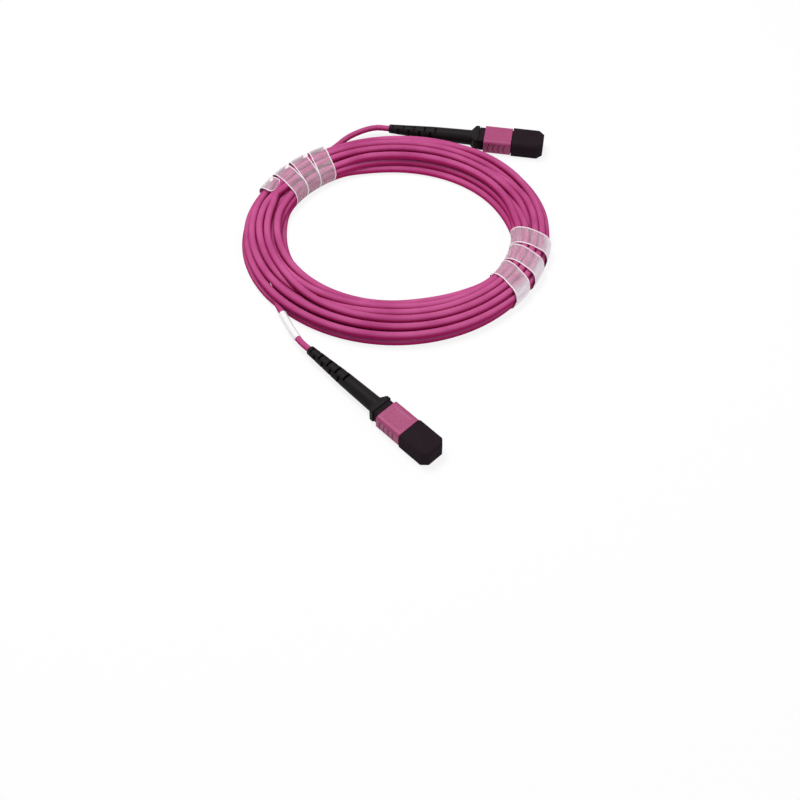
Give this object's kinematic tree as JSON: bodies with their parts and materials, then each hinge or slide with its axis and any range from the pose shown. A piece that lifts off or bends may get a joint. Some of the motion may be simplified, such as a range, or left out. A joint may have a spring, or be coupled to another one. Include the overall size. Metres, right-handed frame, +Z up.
{
  "type": "fibre optic patch cable",
  "caption": "Coiled round multi-fibre patch cable with a push-on rectangular plug, slotted boot and dust cap at each end, tied with clear film strips",
  "frame": {"origin": "middle of the bounding box's bottom face, on the surface that the cable lies on", "axes": "+Z up; -Y towards the front plug and the viewer; X across the coil's long axis"},
  "size_m": [0.145, 0.1988, 0.0111],
  "materials": {
    "jacket_violet": "satin cable jacket",
    "housing_violet": "fine moulded satin",
    "black_plastic": "fine moulded satin",
    "black_rubber": "satin elastomer",
    "white_sleeve": "satin sleeve",
    "clear_film": "thin frosted film",
    "spring_steel": "drawn wire",
    "crimp_metal": "plated",
    "ferrule_resin": "moulded resin",
    "aramid_yellow": "fine yarn",
    "fibre_ribbon": "coated fibre ribbon"
  },
  "bodies": {
    "cable": {"cable_coil": "jacket_violet", "cable_lead_a": "jacket_violet", "cable_lead_b": "jacket_violet", "marker_sleeve": "white_sleeve", "film_wrap_right": "clear_film", "film_wrap_left": "clear_film", "plug_frame_a": "black_plastic", "coupling_spring_left_a": "spring_steel", "coupling_spring_right_a": "spring_steel", "ferrule_spring_a": "spring_steel", "spring_push_a": "black_plastic", "aramid_yarn_a": "aramid_yellow", "crimp_ring_a": "crimp_metal", "strain_boot_a": "black_rubber", "plug_frame_b": "black_plastic", "coupling_spring_left_b": "spring_steel", "coupling_spring_right_b": "spring_steel", "ferrule_spring_b": "spring_steel", "spring_push_b": "black_plastic", "aramid_yarn_b": "aramid_yellow", "crimp_ring_b": "crimp_metal", "strain_boot_b": "black_rubber"},
    "cap_a": {"dust_cap_a": "black_plastic"},
    "sleeve_a": {"outer_housing_a": "housing_violet"},
    "ferrule_a": {"ferrule_a": "ferrule_resin", "pin_clamp_a": "black_plastic", "ferrule_boot_a": "black_rubber", "fibre_ribbon_a": "fibre_ribbon"},
    "cap_b": {"dust_cap_b": "black_plastic"},
    "sleeve_b": {"outer_housing_b": "housing_violet"},
    "ferrule_b": {"ferrule_b": "ferrule_resin", "pin_clamp_b": "black_plastic", "ferrule_boot_b": "black_rubber", "fibre_ribbon_b": "fibre_ribbon"}
  },
  "joints": [
    {"name": "dust_cap_a_pull", "type": "slide", "parent": "cable", "child": "cap_a", "axis": [0.6997, -0.7145, 0], "range_m": [0, 0.015]},
    {"name": "outer_housing_a_pull_back", "type": "slide", "parent": "cable", "child": "sleeve_a", "axis": [-0.6997, 0.7145, 0], "range_m": [0, 0.0025], "stiffness_N_per_m": 1200, "deforming": ["coupling_spring_left_a", "coupling_spring_right_a"]},
    {"name": "ferrule_a_float", "type": "slide", "parent": "cable", "child": "ferrule_a", "axis": [-0.6997, 0.7145, 0], "range_m": [0, 0.0006], "stiffness_N_per_m": 4000, "deforming": ["ferrule_spring_a"]},
    {"name": "dust_cap_b_pull", "type": "slide", "parent": "cable", "child": "cap_b", "axis": [0.9877, -0.1564, 0], "range_m": [0, 0.015]},
    {"name": "outer_housing_b_pull_back", "type": "slide", "parent": "cable", "child": "sleeve_b", "axis": [-0.9877, 0.1564, 0], "range_m": [0, 0.0025], "stiffness_N_per_m": 1200, "deforming": ["coupling_spring_left_b", "coupling_spring_right_b"]},
    {"name": "ferrule_b_float", "type": "slide", "parent": "cable", "child": "ferrule_b", "axis": [-0.9877, 0.1564, 0], "range_m": [0, 0.0006], "stiffness_N_per_m": 4000, "deforming": ["ferrule_spring_b"]}
  ]
}
